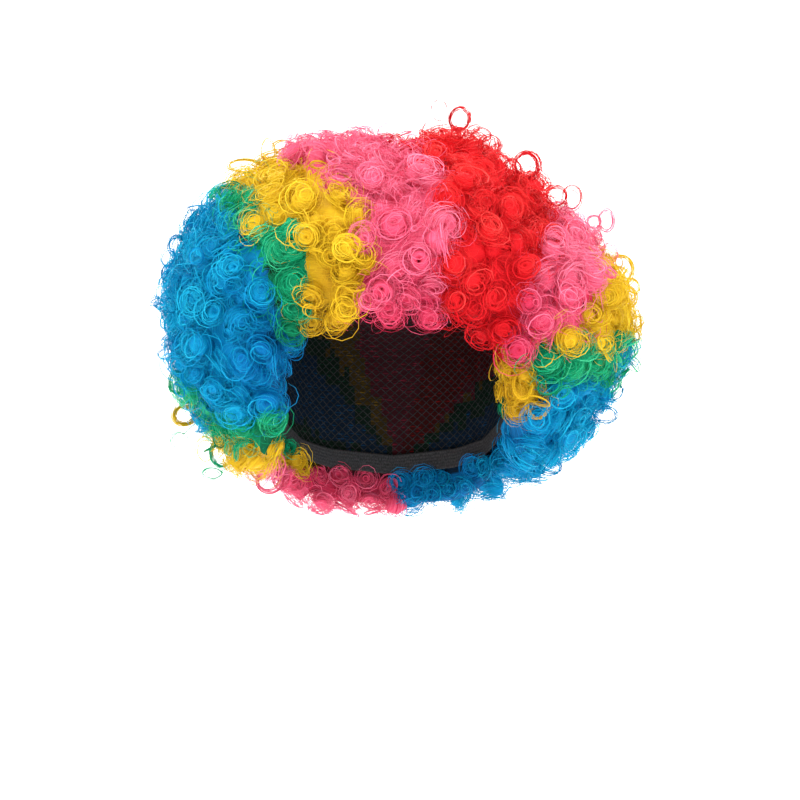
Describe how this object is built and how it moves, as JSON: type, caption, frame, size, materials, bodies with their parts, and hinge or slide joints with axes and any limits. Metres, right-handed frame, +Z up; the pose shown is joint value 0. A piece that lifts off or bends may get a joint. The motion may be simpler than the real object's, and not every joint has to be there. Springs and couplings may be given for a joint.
{
  "type": "clown wig",
  "caption": "Curly party wig: ringlets in coloured bands on a stretch net cap with an elastic edge, open for a face.",
  "frame": {"origin": "inside of the cap at the crown, where the top of the head meets it", "axes": "+Z up along the head, the wearer looks along -Y, +X is the right of someone who faces the wearer"},
  "size_m": [0.2654, 0.2669, 0.2152],
  "materials": {
    "hair_blue": "soft sheen synthetic fibre, curled",
    "hair_green": "soft sheen synthetic fibre, curled",
    "hair_yellow": "soft sheen synthetic fibre, curled",
    "hair_pink": "soft sheen synthetic fibre, curled",
    "hair_red": "soft sheen synthetic fibre, curled",
    "cap_net": "matt stretch net",
    "elastic": "matt woven elastic"
  },
  "bodies": {
    "root": {"cap": "cap_net", "edge_band": "elastic", "hair_pink_nape": "hair_pink", "hair_yellow_low": "hair_yellow", "hair_green_low": "hair_green", "hair_blue_left": "hair_blue", "hair_green_left": "hair_green", "hair_yellow_left": "hair_yellow", "hair_pink_left": "hair_pink", "hair_red": "hair_red", "hair_pink_right": "hair_pink", "hair_yellow_right": "hair_yellow", "hair_green_right": "hair_green", "hair_blue_right": "hair_blue", "hair_yellow_temple": "hair_yellow"}
  },
  "joints": []
}
